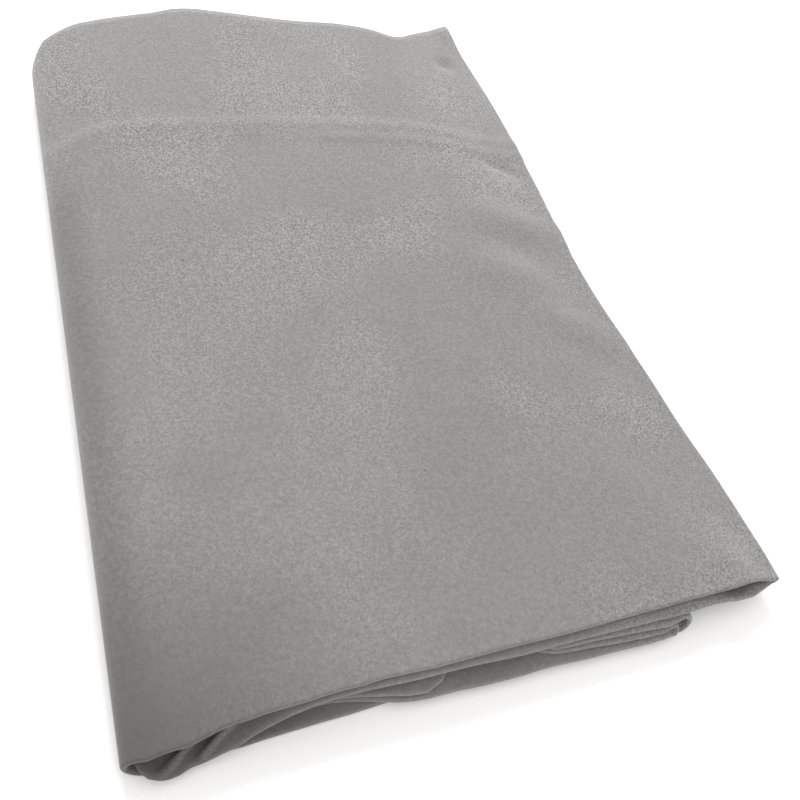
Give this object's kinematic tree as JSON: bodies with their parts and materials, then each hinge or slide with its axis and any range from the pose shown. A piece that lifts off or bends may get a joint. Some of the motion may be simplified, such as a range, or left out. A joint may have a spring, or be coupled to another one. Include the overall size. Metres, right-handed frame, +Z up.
{
  "type": "folded microfibre towel",
  "caption": "Plain suede-finish microfibre towel, folded in half lengthwise and then across into a flat rectangular packet.",
  "frame": {"origin": "centre of the folded packet's outline, at the surface it lies on", "axes": "+X across the packet from its rounded folded side to its sharp folded side, +Y from its front fold to its back hems, +Z up"},
  "size_m": [0.2656, 0.4208, 0.0205],
  "materials": {
    "grey_microfibre": "matte suede nap"
  },
  "bodies": {
    "root": {"towel": "grey_microfibre"}
  },
  "joints": []
}
